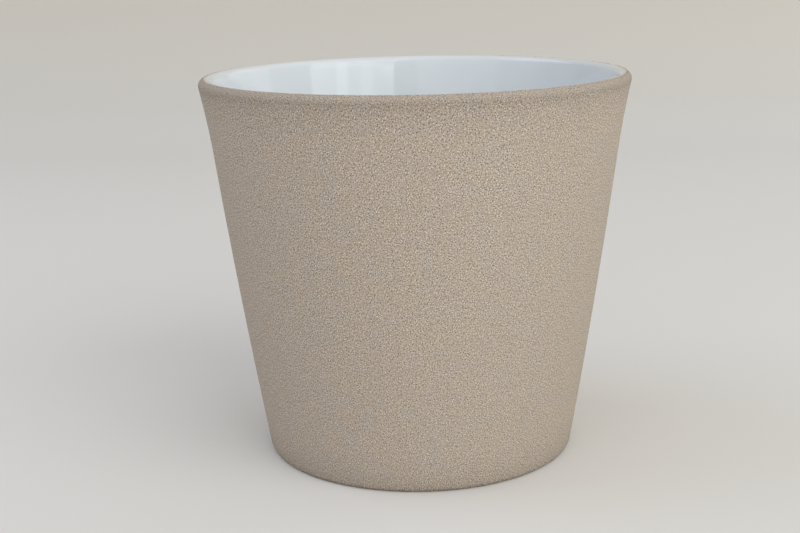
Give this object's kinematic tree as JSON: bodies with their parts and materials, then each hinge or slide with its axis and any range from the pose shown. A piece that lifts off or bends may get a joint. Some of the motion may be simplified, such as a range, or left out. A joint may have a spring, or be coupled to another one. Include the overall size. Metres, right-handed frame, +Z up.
{
  "type": "cachepot",
  "caption": "Round tapered ceramic cachepot with a rounded lip, sandy matt outside and glossy white inside, closed floor, made to hide a nursery pot.",
  "frame": {"origin": "middle of the foot ring, on the surface that the pot stands on", "axes": "+Z up along the axis of the pot; -Y faces the camera of the picture, +X is to its right"},
  "size_m": [0.19, 0.19, 0.17],
  "materials": {
    "bare_earthenware": "unglazed, matt, fine turned marks",
    "white_gloss_glaze": "glossy white glaze",
    "taupe_sand_coat": "matt, sprayed with fine sand, warm taupe"
  },
  "bodies": {
    "root": {"earthenware_body": "bare_earthenware", "white_glaze": "white_gloss_glaze", "sand_coat": "taupe_sand_coat"}
  },
  "joints": []
}
